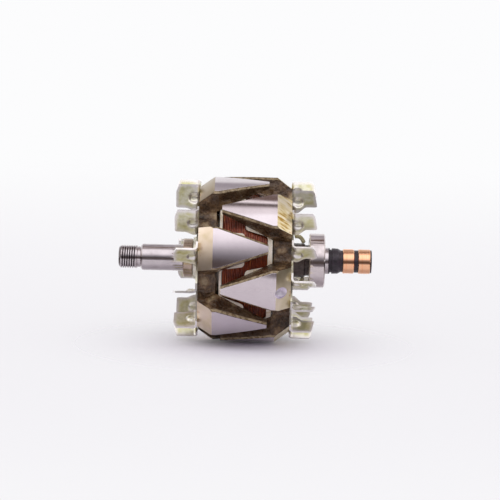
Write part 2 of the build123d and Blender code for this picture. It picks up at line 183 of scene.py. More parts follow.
def blade_lattices(angle, chord, lean, flare, tip, side, plane_x):
    """One bent blade. Its mid surface follows the plate, a quarter circle and a straight wall;
    both faces lie half the sheet off it. Along the blade, s = s0(h) + t (chord - s0(h)), where t
    is the column's share and s0 rises by a smooth step from 0 at the bend to the flare at mid
    height. A stamped dent presses the bend inwards by a flat-topped bell of the distance from
    its middle."""
    # The columns crowd towards both ends, where the free edge's corners are round.
    t = np.linspace(0, 1, 44)
    t = t - np.sin(2 * math.pi * t) / (2 * math.pi) * 0.75
    top = rounded_profile(tip, 0.9, 7)
    height = np.interp(flare + t * (chord - flare), top[:, 0], top[:, 1])
    foot, mid_r, outer = 3.4, BEND_R + SHEET / 2, BEND_R + SHEET
    arc = mid_r * math.pi / 2
    bent = foot + arc
    total = bent + height - outer
    rows = np.concatenate([np.linspace(0, 1, 5)[:-1] * foot, foot + np.linspace(0, 1, 14) * arc])
    share = np.linspace(0, 1, 29)[1:, None]
    v = np.concatenate([np.repeat(rows[:, None], len(t), 1), bent + share * (total - bent)])
    turn = np.clip((v - foot) / mid_r, 0, math.pi / 2)
    across = np.where(v < foot, outer + foot - v, outer - mid_r * np.sin(turn))
    rise = outer - mid_r * np.cos(turn) + np.clip(v - bent, 0, None)
    out_a, out_r = -np.sin(turn), -np.cos(turn)
    step = np.clip((v - bent) / (0.42 * max(p[1] for p in tip)), 0, 1)
    s0 = flare * step * step * (3 - 2 * step)
    s = s0 + t[None, :] * (chord - s0)
    # The dent reaches further down, over the bend, than it does up or sideways.
    dent_s, dent_v, dent_r, dent_down = 0.48 * chord, bent + 1.4, 2.6, 4.2
    away = (((s - dent_s) / dent_r) ** 2 + (np.clip(v - dent_v, 0, None) / dent_r) ** 2
            + (np.clip(dent_v - v, 0, None) / dent_down) ** 2)
    push = -DENT * np.exp(-away ** 2.4)
    # The painted highlight is 1 along the sheared edges, in the bend and on the dent's lip, 0 in
    # the open sheet.
    rim = np.minimum(np.minimum(s - s0, chord - s), total[None, :] - v) / 2.4
    lip = np.exp(-((np.sqrt(away) - 1.0) / 0.30) ** 2)
    bend = np.exp(-((v - bent) / 1.8) ** 2)
    painted_highlight = np.clip(1 - np.clip(rim, 0, 1) ** 1.5 + 0.8 * lip + 0.5 * bend, 0, 1)
    # The foot sinks a hair into the plate so that its end does not show.
    rise = rise + np.where(v < foot, (foot - v) / foot * 0.06, 0)
    along_dir, across_dir = direction(angle + lean), direction(angle + lean + 90)
    origin = direction(angle) * blade_middle(chord, lean) - along_dir * chord / 2
    axis = np.array([float(side), 0, 0])

    def place(offset):
        a = across + (offset + push) * out_a
        r = rise + (offset + push) * out_r
        point = (origin + along_dir * s[..., None] + across_dir * a[..., None]
                 + axis * r[..., None] + np.array([plane_x, 0, 0]))
        return np.concatenate([point, painted_highlight[..., None]], axis=-1)

    outer_face, inner_face = place(SHEET / 2), place(-SHEET / 2)
    loop = np.concatenate([outer_face, inner_face[::-1], outer_face[:1]])
    first = np.stack([outer_face[:, 0], inner_face[:, 0]], axis=1)
    last = np.stack([outer_face[:, -1], inner_face[:, -1]], axis=1)
    return [(loop, False), (first, False), (last, False)]


def plate_lattice(angles, chord, lean, side, plane_x, hub_rise):
    """Fan plate in polar form. Its rim is the star whose sides are the blades' fold lines and the
    slanted edges between them; each ring is a share of the way from the bore to that rim, and the
    hub is raised by a smooth step of the radius."""
    inset = SHEET + BEND_R
    corners = []
    for angle in sorted(angles):
        along, across = direction(angle + lean), direction(angle + lean + 90)
        middle = direction(angle) * blade_middle(chord, lean)
        corners += [middle - along * chord / 2, middle - along * chord / 2 + across * inset,
                    middle + along * chord / 2 + across * inset]
    corners = np.array(corners)
    turn = np.degrees(np.arctan2(corners[:, 2], -corners[:, 1]))
    order = np.argsort(turn)
    corners, turn = corners[order], turn[order]
    turn = np.concatenate([turn[-1:] - 360, turn, turn[:1] + 360])
    corners = np.concatenate([corners[-1:], corners, corners[:1]])
    fine = np.unique(np.concatenate([np.linspace(-180, 180, 361)[:-1], turn[1:-1]]))
    fine = fine[(fine >= -180) & (fine < 180)]
    k = np.clip(np.searchsorted(turn, fine, side="right") - 1, 0, len(turn) - 2)
    p, q = corners[k][:, 1:] * [-1, 1], corners[k + 1][:, 1:] * [-1, 1]
    c, d = np.cos(np.radians(fine)), np.sin(np.radians(fine))
    cross = p[:, 0] * q[:, 1] - p[:, 1] * q[:, 0]
    edge = q - p
    rim = cross / (c * edge[:, 1] - d * edge[:, 0])
    share = np.concatenate([[0], np.linspace(0.02, 0.30, 14), np.linspace(0.34, 1, 12)])
    r = SEAT_R + share[:, None] * (rim[None, :] - SEAT_R)
    # The hub's step is 1.6 mm wide and ends 1.2 mm outside its radius.
    step = np.clip((HUB_R + 1.2 - r) / 1.6, 0, 1)
    step = hub_rise * step * step * (3 - 2 * step)

    # The plate carries half the painted highlight all over.
    def face(rise):
        return np.stack([plane_x + side * (rise + step), -r * c, r * d, 0.5 + 0 * r], axis=-1)

    top, under = face(SHEET), face(0)
    return [(np.concatenate([top, under[::-1], top[:1]]), True)]


def make_fan(name, angles, chord, lean, flare, tip, side, plane_x, hub_rise, finish, node):
    """Pressed fan: the star plate and every blade, all in one mesh."""
    lattices = plate_lattice(angles, chord, lean, side, plane_x, hub_rise)
    for angle in angles:
        lattices += blade_lattices(angle, chord, lean, flare, tip, side, plane_x)
    put_mesh(name, lattices, "rotor", finish, [node], sharp=38)


def make_coil(finish):
    """Winding as a revolved row of wires. The outer radius follows half circles of the wire along
    x, and their phase climbs once round for each turn, so the wires are one helix. The whole
    stands highest at mid length: R(x) = R0 + rise (half length - |x - middle|)."""
    count = 144
    middle, half = (COIL_X + COIL_END_X) / 2, (COIL_END_X - COIL_X) / 2
    x = np.linspace(COIL_X, COIL_END_X, int(2 * half / WIRE * 10))
    angle = round_angles(count)
    turns = (x[:, None] - COIL_X) / WIRE - angle / (2 * math.pi)
    phase, row = turns % 1.0, np.floor(turns)
    bulge = np.sqrt(np.clip(1 - (2 * phase - 1) ** 2, 0.02, 1))
    # Each turn lies up to 0.28 mm high or low by its number, and unevenly round the shaft. The
    # whole lies 0.35 mm low, so that no turn leaves the solid.
    uneven = 0.16 * np.sin(row * 2.4) + 0.12 * np.sin(row * 5.1 + 3 * angle)
    crown = COIL_R - 0.35 + COIL_RISE * (half - np.abs(x - middle))
    outer = crown[:, None] - WIRE / 2 + WIRE / 2 * bulge + uneven
    inner = np.full((1, count), COIL_INNER_R)
    lattice = ring_lattice(np.concatenate([[COIL_X], x, [COIL_END_X]]),
                           np.concatenate([inner, outer, inner]))
    lattice = np.concatenate([lattice, lattice[:1]])
    put_mesh("coil_winding", [(lattice, True)], "rotor", finish, ["field_coil"],
             sharp=60)


def make_lead(name, angle, finish, node):
    """Lead wire in a thick varnished sleeve. Its middle line is a quadratic Bezier in the plane
    through the shaft at the given angle, from the fan's plate over to the collar, and the sleeve
    is a circle swept square to it, closed by shrinking it at both ends along a quarter circle."""
    t = np.linspace(0, 1, 40)[:, None]
    p = np.array([[71.2, 15.4], [75.4, 17.2], [77.4, 11.4]])
    line = (1 - t) ** 2 * p[0] + 2 * t * (1 - t) * p[1] + t ** 2 * p[2]
    way = 2 * (1 - t) * (p[1] - p[0]) + 2 * t * (p[2] - p[1])
    way = way / np.linalg.norm(way, axis=1, keepdims=True)
    into_end = np.clip(np.abs(2 * t - 1) - 0.88, 0, 1) / 0.12
    size = SLEEVE_R * np.sqrt(np.clip(1 - into_end ** 2, 0, 1))
    turn = round_angles(20)
    x = line[:, :1] - size * np.cos(turn) * way[:, 1:]
    r = line[:, 1:] + size * np.cos(turn) * way[:, :1]
    beside = size * np.sin(turn)
    out, side = direction(angle), direction(angle + 90)
    points = x[..., None] * np.array([1.0, 0, 0]) + r[..., None] * out + beside[..., None] * side
    put_mesh(name, [(points, True)], "rotor", finish, [node])


# Finishes
# In a Map Range node, inputs 1 and 2 are the range read and 3 and 4 the range written, 0 to 1
# unless given. In a Mix node 0 is the share, and a colour one's two colours are 6 and 7, a plain
# one's two values 2 and 3. In a Mapping node 2 is the turn and 3 the grains in a metre, or for
# the TEXTURE type a grain's size.

def linear(code):
    """sRGB hex to linear RGBA, opaque."""
    c = np.array([int(code[i:i + 2], 16) for i in (1, 3, 5)]) / 255
    c = np.where(c <= 0.04045, c / 12.92, ((c + 0.055) / 1.055) ** 2.4)
    return (*c.tolist(), 1.0)


def add(tree, kind, inputs=(), stops=(), **settings):
    """Adds one node and gives back its outputs. settings are the node's own, inputs fills its
    sockets by name or number with an output, a hex colour or a plain value, and stops are a
    colour ramp's (place, hex colour) pairs."""
    made = tree.nodes.new("ShaderNode" + kind)
    for key, value in settings.items():
        setattr(made, key, value)
    for key, value in dict(inputs).items():
        if isinstance(value, bpy.types.NodeSocket):
            tree.links.new(value, made.inputs[key])
        else:
            made.inputs[key].default_value = linear(value) if isinstance(value, str) else value
    if stops:
        band = made.color_ramp.elements
        band[0].position, band[-1].position = stops[0][0], stops[-1][0]
        for place, _ in stops[1:-1]:
            band.new(place)
        for element, (_, code) in zip(band, stops):
            element.color = linear(code)
    return made.outputs


def new_finish(name):
    """Material with its principled shader's inputs and the object's own coordinates."""
    finish = bpy.data.materials.new(name)
    finish.use_nodes = True
    tree = finish.node_tree
    return finish, tree, tree.nodes["Principled BSDF"].inputs, add(tree, "TexCoord")["Object"]


def radius_of(tree, place):
    """Distance from the shaft's axis, in metres."""
    flat = add(tree, "VectorMath", {0: place, 1: (0, 1, 1)}, operation="MULTIPLY")[0]
    return add(tree, "VectorMath", {0: flat}, operation="LENGTH")["Value"]


def ground_steel(name="ground_steel", dark="#A59A98", middle="#C6BEC0", light="#D6CED0",
                 rough=0.13):
    """Ground steel: grey with a warm cast, fine marks round the shaft that spread the light a
    little along it, and faint stains."""
    finish, tree, shader, place = new_finish(name)
    # Grinding marks 0.1 mm apart, drawn at 0.5 mm so that they show.
    round_it = add(tree, "Mapping", {0: place, 3: (2 / MM, 0.04 / MM, 0.04 / MM)})[0]
    lines = add(tree, "TexNoise", {0: round_it, "Scale": 1, "Detail": 2})[0]
    cloud = add(tree, "TexNoise",
                {0: place, "Scale": 1 / (9 * MM), "Detail": 4, "Roughness": 0.6})[0]
    colour = add(tree, "ValToRGB", {0: cloud}, [(0.3, light), (0.55, middle), (0.75, dark)])[0]
    # Painted shade darkens the thread's roots, under its crests and short of x = -29.6 mm.
    x = add(tree, "SeparateXYZ", {0: place})[0]
    on_thread = add(tree, "Math", {0: x, 1: -29.6 * MM}, operation="LESS_THAN")[0]
    root_shade = add(tree, "MapRange", {0: radius_of(tree, place), 1: (CREST_R - 0.1) * MM,
                                  2: (CREST_R - 0.8) * MM, 3: 0.0, 4: 0.7})[0]
    root_shade = add(tree, "Math", {0: root_shade, 1: on_thread}, operation="MULTIPLY")[0]
    colour = add(tree, "Mix", {0: root_shade, 6: colour, 7: "#2C2225"}, data_type="RGBA")[2]
    tree.links.new(colour, shader["Base Color"])
    shader["Metallic"].default_value = 1.0
    spread = add(tree, "MapRange", {0: lines, 1: 0.3, 2: 0.7, 3: rough - 0.04, 4: rough + 0.04})[0]
    tree.links.new(spread, shader["Roughness"])
    bump = add(tree, "Bump", {"Height": lines, "Distance": 0.005 * MM})[0]
    tree.links.new(bump, shader["Normal"])
    return finish


def yellow_zinc():
    """Yellow passivated zinc on pressed sheet: pale grey green, half glossy, cloudy, with olive
    yellow in the open sheet and a pale painted highlight along edges, bends and dents."""
    finish, tree, shader, place = new_finish("yellow_passivated_zinc")
    # Clouds 9 mm across from the bath, stains 3.5 mm, and soft dents 3.2 mm from the press.
    painted_highlight = add(tree, "Attribute", attribute_name="painted_highlight")["Fac"]
    cloud = add(tree, "TexNoise",
                {0: place, "Scale": 1 / (9 * MM), "Detail": 3, "Roughness": 0.55})[0]
    tint = add(tree, "TexNoise",
               {0: place, "Scale": 1 / (3.5 * MM), "Detail": 4, "Roughness": 0.6})[0]
    sheet = add(tree, "ValToRGB", {0: cloud},
                [(0.30, "#F4F2DA"), (0.44, "#D4D09C"), (0.58, "#E8E6CE"), (0.74, "#B9B674")])[0]
    stain = add(tree, "ValToRGB", {0: tint}, [(0.50, "#000000"), (0.74, "#B0B0B0")])[0]
    sheet = add(tree, "Mix", {0: stain, 6: sheet, 7: "#A09C56"}, data_type="RGBA")[2]
    # The pale colour is a painted highlight along edges, bends and dents.
    pale = add(tree, "ValToRGB", {0: tint}, [(0.35, "#FAF6F6"), (0.65, "#ECE8E0")])[0]
    colour = add(tree, "Mix", {0: painted_highlight, 6: sheet, 7: pale}, data_type="RGBA")[2]
    tree.links.new(colour, shader["Base Color"])
    shader["Metallic"].default_value = 0.66
    rough = add(tree, "MapRange", {0: cloud, 1: 0.3, 2: 0.7, 3: 0.17, 4: 0.27})[0]
    tree.links.new(rough, shader["Roughness"])
    soft = add(tree, "TexNoise", {0: place, "Scale": 1 / (3.2 * MM), "Detail": 2})[0]
    bump = add(tree, "Bump", {"Height": soft, "Distance": 0.11 * MM})[0]
    tree.links.new(bump, shader["Normal"])
    return finish


def pole_zones(tree, place, face_x, inward):
    """The radius, the depth behind the pole's outer face, and where the pole is turned and where
    it is bevelled, from 0 to 1."""
    x = add(tree, "SeparateXYZ", {0: place})[0]
    r = radius_of(tree, place)
    depth = add(tree, "Math", {0: x, 1: float(inward), 2: -face_x * inward * MM},
                operation="MULTIPLY_ADD")[0]
    # The turned face is what reaches the rotor's full radius.
    turned = add(tree, "MapRange", {0: r, 1: (ROTOR_R - 0.20) * MM, 2: (ROTOR_R - 0.11) * MM})[0]
    # The bevel is what lies on its cone, which rises to the full radius over the bevel's length.
    cone = add(tree, "Math", {0: depth, 1: (ROTOR_R - FACE_R) / BEVEL_LENGTH, 2: FACE_R * MM},
               operation="MULTIPLY_ADD")[0]
    off = add(tree, "Math", {0: r, 1: cone}, operation="SUBTRACT")[0]
    off = add(tree, "Math", {0: off}, operation="ABSOLUTE")[0]
    near = add(tree, "MapRange", {0: off, 1: 0.28 * MM, 2: 0.12 * MM})[0]
    outer = add(tree, "Math", {0: depth, 1: (BEVEL_LENGTH + 0.03) * MM}, operation="LESS_THAN")[0]
    return r, depth, turned, add(tree, "Math", {0: near, 1: outer}, operation="MULTIPLY")[0]


def bevel_colour(tree, place, depth, straws, varnished):
    """Scraped bevel in straw colours. Its upper part is under thin varnish where varnished is
    true, and otherwise crossed by slanted bands of painted reflection. Rust creeps in from the rim."""
    scraped = add(tree, "TexNoise", {0: place, "Scale": 1 / (11 * MM), "Detail": 2})[0]
    straw = add(tree, "ValToRGB", {0: scraped}, list(zip((0.3, 0.5, 0.66, 0.8), straws)))[0]
    high = add(tree, "SeparateXYZ", {0: place})[2]
    if varnished:
        coated = add(tree, "MapRange", {0: high, 1: 27 * MM, 2: 40 * MM, 3: 0.0, 4: 0.72})[0]
        straw = add(tree, "Mix", {0: coated, 6: straw, 7: "#8C7C62"}, data_type="RGBA")[2]
    else:
        # Painted reflections of the room's light strips: slanted bands about 1.1 mm wide, gold
        # between bright, on the upper part.
        slant = add(tree, "Mapping", {0: place, 2: (0, math.radians(-55), 0),
                                      3: (1.1 * MM, 9 * MM, 9 * MM)}, vector_type="TEXTURE")[0]
        marks = add(tree, "TexNoise", {0: slant, "Scale": 1, "Detail": 2})[0]
        marks = add(tree, "ValToRGB", {0: marks},
                    [(0.40, "#F0E4CA"), (0.55, "#DCCB9C"), (0.66, "#AE8A44")])[0]
        upper = add(tree, "MapRange", {0: high, 1: 4 * MM, 2: 12 * MM})[0]
        straw = add(tree, "Mix", {0: upper, 6: straw, 7: marks}, data_type="RGBA")[2]
    spots = add(tree, "TexNoise",
                {0: place, "Scale": 1 / (3 * MM), "Detail": 5, "Roughness": 0.7})[0]
    reach = add(tree, "MapRange", {0: depth, 1: 0.0, 2: 3 * MM, 3: 0.10, 4: -0.10})[0]
    rust = add(tree, "Math", {0: spots, 1: reach}, operation="ADD")[0]
    rust = add(tree, "MapRange", {0: rust, 1: 0.60, 2: 0.68, 3: 0.0, 4: 0.75})[0]
    return add(tree, "Mix", {0: rust, 6: straw, 7: "#C08A3C"}, data_type="RGBA")[2]


def varnish_colour(tree, r, depth, pool, grit):
    """Varnish over the forging: brown, paler where it pools and where it is scuffed, with painted
    shade on the claws' sides, and khaki on the rough edge by the face, lightened by a painted
    highlight."""
    varnish = add(tree, "ValToRGB", {0: pool},
                  [(0.34, "#3A281A"), (0.48, "#5E452C"), (0.58, "#84694A"), (0.74, "#B8A480")])[0]
    scuffed = add(tree, "ValToRGB", {0: grit}, [(0.56, "#000000"), (0.72, "#A8A8A8")])[0]
    varnish = add(tree, "Mix", {0: scuffed, 6: varnish, 7: "#A98F68"}, data_type="RGBA")[2]
    # Painted shade: the claws' sides are darkened from 44 mm out, past the bevel.
    side = add(tree, "MapRange", {0: r, 1: 44 * MM, 2: 47 * MM, 3: 0.0, 4: 0.7})[0]
    claw = add(tree, "MapRange", {0: depth, 1: 8.5 * MM, 2: 10.5 * MM})[0]
    side = add(tree, "Math", {0: side, 1: claw}, operation="MULTIPLY")[0]
    varnish = add(tree, "Mix", {0: side, 6: varnish, 7: "#46321F"}, data_type="RGBA")[2]
    # Khaki varnish on the edge by the face, made lighter as a painted highlight where it catches
    # the light.
    rim = add(tree, "MapRange", {0: r, 1: 51.4 * MM, 2: 52 * MM, 3: 0.0, 4: 0.75})[0]
    edge = add(tree, "ValToRGB", {0: grit}, [(0.40, "#85704E"), (0.60, "#C0AC86")])[0]
    return add(tree, "Mix", {0: rim, 6: varnish, 7: edge}, data_type="RGBA")[2]


def drilled(tree, place, x, angle):
    """Where the balance drilling is, from 0 to 1: just past its radius of 3.7 mm from the line
    that leaves the shaft's axis at x and the given angle."""
    out, across = direction(angle), direction(angle + 90)
    along = add(tree, "VectorMath", {0: place, 1: out}, operation="DOT_PRODUCT")["Value"]
    beside = add(tree, "VectorMath", {0: place, 1: across}, operation="DOT_PRODUCT")["Value"]
    flat = add(tree, "CombineXYZ", {0: add(tree, "SeparateXYZ", {0: place})[0], 1: beside})[0]
    flat = add(tree, "VectorMath", {0: flat, 1: (-x * MM, 0, 0)}, operation="ADD")[0]
    away = add(tree, "VectorMath", {0: flat}, operation="LENGTH")["Value"]
    within = add(tree, "MapRange", {0: away, 1: 3.80 * MM, 2: 3.74 * MM})[0]
    same_side = add(tree, "Math", {0: along, 1: 30 * MM}, operation="GREATER_THAN")[0]
    return add(tree, "Math", {0: within, 1: same_side}, operation="MULTIPLY")[0]


def pole_steel(name, face_x, inward, straws, hole=None):
    """Forged pole: the claws' faces are turned bright, the bevel at the rim is scraped to straw
    colours, and a brown varnish pools over the rough forging everywhere else. hole is the x and
    the angle of a drilling, which is bright metal because it was cut after the varnish."""
    finish, tree, shader, place = new_finish(name)
    r, depth, turned, bevel = pole_zones(tree, place, face_x, inward)
    bare = add(tree, "Math", {0: turned, 1: bevel}, operation="MAXIMUM")[0]
    if hole:
        cut = drilled(tree, place, *hole)
        bare = add(tree, "Math", {0: bare, 1: cut}, operation="MAXIMUM")[0]
    covered = add(tree, "Math", {0: 1.0, 1: bare}, operation="SUBTRACT")[0]

    # Turning marks 0.2 mm apart on the real face, drawn at 0.6 mm so that they show. The forging
    # skin under the varnish has lumps about 7 mm and 2 mm across.
    round_it = add(tree, "Mapping", {0: place, 3: (1.7 / MM, 0.03 / MM, 0.03 / MM)})[0]
    lines = add(tree, "TexNoise", {0: round_it, "Scale": 1, "Detail": 2})[0]
    cloud = add(tree, "TexNoise",
                {0: place, "Scale": 1 / (12 * MM), "Detail": 4, "Roughness": 0.6})[0]
    pool = add(tree, "TexNoise", {0: place, "Scale": 1 / (7 * MM), "Detail": 3})[0]
    grit = add(tree, "TexNoise",
               {0: place, "Scale": 1 / (2.2 * MM), "Detail": 3, "Roughness": 0.55})[0]

    face = add(tree, "ValToRGB", {0: cloud},
               [(0.3, "#DCD3D6"), (0.6, "#D6CCD0"), (0.8, "#C9BEC2")])[0]
    varnish = varnish_colour(tree, r, depth, pool, grit)
    straw = bevel_colour(tree, place, depth, straws, inward > 0)
    colour = add(tree, "Mix", {0: turned, 6: varnish, 7: face}, data_type="RGBA")[2]
    colour = add(tree, "Mix", {0: bevel, 6: colour, 7: straw}, data_type="RGBA")[2]
    bright = add(tree, "MapRange", {0: lines, 1: 0.3, 2: 0.7, 3: 0.085, 4: 0.125})[0]
    dull = add(tree, "MapRange", {0: grit, 1: 0.35, 2: 0.65, 3: 0.20, 4: 0.42})[0]
    rough = add(tree, "Mix", {0: bare, 2: dull, 3: bright})[0]
    rough = add(tree, "Mix", {0: bevel, 2: rough, 3: 0.31})[0]
    if hole:
        colour = add(tree, "Mix", {0: cut, 6: colour, 7: "#F4EEF8"}, data_type="RGBA")[2]
        rough = add(tree, "Mix", {0: cut, 2: rough, 3: 0.42})[0]
    tree.links.new(colour, shader["Base Color"])
    tree.links.new(rough, shader["Roughness"])
    tree.links.new(add(tree, "MapRange", {0: bare, 3: 0.15, 4: 1.0})[0], shader["Metallic"])
    tree.links.new(add(tree, "MapRange", {0: bare, 3: 0.30, 4: 0.0})[0], shader["Coat Weight"])
    shader["Coat Roughness"].default_value = 0.09

    lumps = add(tree, "Math", {0: pool, 1: covered}, operation="MULTIPLY")[0]
    skin = add(tree, "Math", {0: grit, 1: covered}, operation="MULTIPLY")[0]
    marks = add(tree, "Math", {0: lines, 1: turned}, operation="MULTIPLY")[0]
    normal = add(tree, "Bump", {"Height": lumps, "Distance": 3.0 * MM})[0]
    normal = add(tree, "Bump", {"Height": skin, "Distance": 0.9 * MM, "Normal": normal})[0]
    normal = add(tree, "Bump", {"Height": marks, "Distance": 0.003 * MM, "Normal": normal})[0]
    tree.links.new(normal, shader["Normal"])
    return finish


def bobbin_nylon():
    """Glass filled nylon, moulded: cream, smooth, a little waxy, browned by varnish in places."""
    finish, tree, shader, place = new_finish("moulded_nylon_cream")
    # Varnish has run on it in spots about 6 mm across.
    cloud = add(tree, "TexNoise",
                {0: place, "Scale": 1 / (6 * MM), "Detail": 4, "Roughness": 0.6})[0]
    colour = add(tree, "ValToRGB", {0: cloud},
                 [(0.3, "#FBF3E4"), (0.56, "#F1E5CF"), (0.70, "#C4AB7A")])[0]
    tree.links.new(colour, shader["Base Color"])
    shader["Roughness"].default_value = 0.36
    shader["IOR"].default_value = 1.53
    shader["Subsurface Weight"].default_value = 0.06
    shader["Subsurface Radius"].default_value = (0.002, 0.0015, 0.001)
    grain = add(tree, "TexNoise", {0: place, "Scale": 1 / (1.5 * MM), "Detail": 3})[0]
    bump = add(tree, "Bump", {"Height": grain, "Distance": 0.06 * MM})[0]
    tree.links.new(bump, shader["Normal"])
    return finish


def enamelled_copper():
    """Enamelled copper wire under thick varnish: red brown, with darker patches that are partly
    deep varnish and partly painted shade, and orange streaks painted along the wires as highlights."""
    finish, tree, shader, place = new_finish("enamelled_copper_wire")
    # Streaks as wide as the wire and 10 mm long round the coil, the orange ones painted highlights,
    # and darker patches 7 mm across, partly varnish pools and partly painted shade.
    round_it = add(tree, "Mapping", {0: place, 3: (0.9 / MM, 0.10 / MM, 0.10 / MM)})[0]
    strand = add(tree, "TexNoise", {0: round_it, "Scale": 1, "Detail": 2, "Roughness": 0.6})[0]
    cloud = add(tree, "TexNoise",
                {0: place, "Scale": 1 / (7 * MM), "Detail": 3, "Roughness": 0.6})[0]
    colour = add(tree, "ValToRGB", {0: strand},
                 [(0.34, "#742A10"), (0.50, "#8A3815"), (0.62, "#A04A1B"), (0.76, "#E08C48")])[0]
    # The darker patches are partly deep varnish and partly painted shade.
    deep = add(tree, "ValToRGB", {0: cloud}, [(0.46, "#000000"), (0.66, "#B4B4B4")])[0]
    colour = add(tree, "Mix", {0: deep, 6: colour, 7: "#44190E"}, data_type="RGBA")[2]
    tree.links.new(colour, shader["Base Color"])
    shader["Metallic"].default_value = 0.5
    shader["Roughness"].default_value = 0.28
    shader["Coat Weight"].default_value = 0.7
    shader["Coat Roughness"].default_value = 0.12
    flow = add(tree, "TexNoise", {0: place, "Scale": 1 / (2.2 * MM), "Detail": 2})[0]
    bump = add(tree, "Bump", {"Height": flow, "Distance": 0.35 * MM})[0]
    tree.links.new(bump, shader["Normal"])
    return finish


def turned_copper():
    """Turned copper slip ring: salmon copper with fine marks round it."""
    finish, tree, shader, place = new_finish("turned_copper")
    # Tool marks 0.1 mm apart, drawn at 0.35 mm so that they show.
    round_it = add(tree, "Mapping", {0: place, 3: (2.8 / MM, 0.05 / MM, 0.05 / MM)})[0]
    lines = add(tree, "TexNoise", {0: round_it, "Scale": 1, "Detail": 2})[0]
    colour = add(tree, "ValToRGB", {0: lines},
                 [(0.3, "#FFCEA8"), (0.6, "#FFBF94"), (0.8, "#F6A678")])[0]
    tree.links.new(colour, shader["Base Color"])
    shader["Metallic"].default_value = 1.0
    rough = add(tree, "MapRange", {0: lines, 1: 0.3, 2: 0.7, 3: 0.09, 4: 0.15})[0]
    tree.links.new(rough, shader["Roughness"])
    bump = add(tree, "Bump", {"Height": lines, "Distance": 0.003 * MM})[0]
    tree.links.new(bump, shader["Normal"])
    return finish


def dark_moulding(name="moulded_phenolic_black", dark="#1E171E", light="#443843", rough=0.32,
                  grain=0.30):
    """Moulded phenolic, rubber or varnished sleeve: cloudy, half dull, with the surface grain
    raised by the given millimetres."""
    finish, tree, shader, place = new_finish(name)
    cloud = add(tree, "TexNoise",
                {0: place, "Scale": 1 / (3 * MM), "Detail": 4, "Roughness": 0.6})[0]
    colour = add(tree, "ValToRGB", {0: cloud}, [(0.35, dark), (0.7, light)])[0]
    tree.links.new(colour, shader["Base Color"])
    shader["Roughness"].default_value = rough
    fine = add(tree, "TexNoise",
               {0: place, "Scale": 1 / (0.9 * MM), "Detail": 4, "Roughness": 0.6})[0]
    bump = add(tree, "Bump", {"Height": fine, "Distance": grain * MM})[0]
    tree.links.new(bump, shader["Normal"])
    return finish


steel = ground_steel()
# The front collar has browned and dulled. The bearing is finer ground, so brighter and sharper.
collar_steel = ground_steel("stained_steel_collar", "#8A7868", "#AD9A8C", "#C4B2A4", 0.22)
bearing = ground_steel("ground_bearing_steel", "#BEB4B4", "#D2C8C8", "#DED5D5", 0.11)
zinc = yellow_zinc()
# The straws run from the bevel's palest colour to its darkest.
front_pole_finish = pole_steel("forged_pole_front", POLE_FRONT_X, 1,
                               ("#FBEBD9", "#F4E2CC", "#E6D4B4", "#C4B084"))
rear_pole_finish = pole_steel("forged_pole_rear", POLE_REAR_X, -1,
                              ("#F4E8CE", "#E6DABC", "#D0C29E", "#A8986E"), BALANCE_HOLE)
nylon = bobbin_nylon()
wire = enamelled_copper()
copper = turned_copper()
phenolic = dark_moulding()
# Varnish makes the dark collar glossier. Rubber is smooth and dull. The woven sleeves are straw
# yellow, glossy with varnish and coarse.
collar_dark = dark_moulding("varnished_dark_collar", "#3A2C2C", "#574646", 0.26)
seal_rubber = dark_moulding("nitrile_seal", "#161516", "#232122", 0.5, 0.04)
sleeve = dark_moulding("varnished_woven_sleeve", "#8E8450", "#F2EAC8", 0.2, 0.4)


def dress(name, finish):
    """Gives a CAD node its finish in every material slot."""
    mesh = nodes[name].data
    if not mesh.materials:
        mesh.materials.append(finish)
    for i in range(len(mesh.materials)):
        mesh.materials[i] = finish


for name, finish in (
    ("shaft", steel), ("front_collar", collar_steel), ("front_pole", front_pole_finish),
    ("rear_pole", rear_pole_finish), ("coil_bobbin", nylon), ("field_coil", wire),
    ("front_fan", zinc), ("rear_fan", zinc), ("lead_collar", collar_dark),
    ("field_lead_a", sleeve), ("field_lead_b", sleeve), ("bearing_inner_ring", bearing),
    ("bearing_outer_ring", bearing), ("bearing_balls", bearing), ("bearing_cage", bearing),
    ("seal_front", seal_rubber), ("seal_rear", seal_rubber), ("ring_moulding", phenolic),
    ("slip_ring_inner", copper), ("slip_ring_outer", copper),
):
    dress(name, finish)

# Pieces
make_shaft(steel)
make_coil(wire)
make_fan("front_fan_sheet", FRONT_BLADES, FRONT_CHORD, FRONT_LEAN, FRONT_FLARE, FRONT_TIP, -1,
         POLE_FRONT_X, 2.7, zinc, "front_fan")
make_lead("field_lead_sleeve_a", 84, sleeve, "field_lead_a")
make_lead("field_lead_sleeve_b", 264, sleeve, "field_lead_b")
make_fan("rear_fan_sheet", REAR_BLADES, REAR_CHORD, REAR_LEAN, REAR_FLARE, REAR_TIP, 1,
         POLE_REAR_X, 0.0, zinc, "rear_fan")


# Studio

